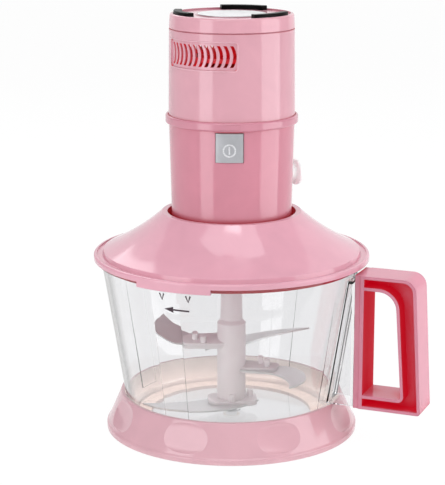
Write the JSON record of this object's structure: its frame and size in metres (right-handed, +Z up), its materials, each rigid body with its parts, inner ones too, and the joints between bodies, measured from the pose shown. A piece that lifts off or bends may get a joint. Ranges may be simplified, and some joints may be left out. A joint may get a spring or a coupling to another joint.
{
  "type": "food chopper",
  "caption": "Countertop food chopper: clear bowl with loop handle on a flared base ring, bayonet lid, steel blades on a hub, and a lift-off motor head that drives them from above.",
  "frame": {"origin": "middle of the whole object's box on the table plane; the blade axis stands 23.3 mm from it on the -X side", "axes": "+Z up along the blade axis, +X towards the handle"},
  "size_m": [0.2405, 0.194, 0.2965],
  "materials": {
    "pink_plastic": "gloss",
    "clear_plastic": "gloss",
    "hub_plastic": "gloss",
    "silver_plastic": "satin",
    "white_plastic": "gloss",
    "black_rubber": "matt",
    "seal_rubber": "matt",
    "plate_foil": "satin",
    "blade_steel": "satin",
    "screw_steel": "satin",
    "bronze": "satin",
    "lamination": "satin",
    "copper_wire": "gloss",
    "carbon": "matt",
    "black_plastic": "matt",
    "nylon": "matt"
  },
  "bodies": {
    "bowl": {"bowl": "clear_plastic", "base_ring": "pink_plastic", "handle": "pink_plastic", "spindle_pin": "screw_steel"},
    "seal": {"lid_seal": "seal_rubber"},
    "lid": {"lid_cover": "pink_plastic"},
    "motor": {"lower_sleeve": "pink_plastic", "trim_collar": "pink_plastic", "motor_housing": "pink_plastic", "top_cap": "pink_plastic", "rubber_feet": "black_rubber", "rating_plate": "plate_foil", "cap_screws": "screw_steel", "cord_gland": "white_plastic", "end_plate": "nylon", "lower_bush": "bronze", "upper_bush": "bronze", "lower_bracket": "nylon", "end_plate_screws": "screw_steel", "stator_core": "lamination", "field_coils": "copper_wire", "upper_bracket": "pink_plastic", "bracket_bolts": "screw_steel", "brush_holders": "bronze", "carbon_brushes": "carbon", "switch_body": "black_plastic"},
    "button": {"power_button": "silver_plastic", "switch_plunger": "nylon"},
    "rotor": {"armature_shaft": "screw_steel", "armature_core": "lamination", "armature_winding": "copper_wire", "commutator": "copper_wire", "drive_coupling": "nylon", "cooling_fan": "black_plastic"},
    "blade": {"blade_hub": "hub_plastic", "upper_blade_left": "blade_steel", "upper_blade_right": "blade_steel", "lower_blade_front": "blade_steel", "lower_blade_right": "blade_steel", "hub_bush": "bronze"}
  },
  "joints": [
    {"name": "lid_lift", "type": "slide", "parent": "bowl", "child": "seal", "axis": [0, 0, 1], "range_m": [0, 0.12]},
    {"name": "lid_turn", "type": "hinge", "parent": "seal", "child": "lid", "pos_m": [-0.0233, 0, 0.1236], "axis": [0, 0, 1], "range_deg": [-18, 0]},
    {"name": "motor_lift", "type": "slide", "parent": "seal", "child": "motor", "axis": [0, 0, 1], "range_m": [0, 0.1]},
    {"name": "button_press", "type": "slide", "parent": "motor", "child": "button", "axis": [-0.342, 0.9397, 0], "range_m": [0, 0.0022], "stiffness_N_per_m": 600, "springref_m": -0.001},
    {"name": "rotor_spin", "type": "hinge", "parent": "motor", "child": "rotor", "pos_m": [-0.0233, 0, 0.2], "axis": [0, 0, 1], "continuous": true},
    {"name": "blade_spin", "type": "hinge", "parent": "bowl", "child": "blade", "pos_m": [-0.0233, 0, 0.05], "axis": [0, 0, 1], "continuous": true}
  ],
  "couplings": [
    {"joint": "blade_spin", "follows": "rotor_spin", "ratio": 1}
  ]
}
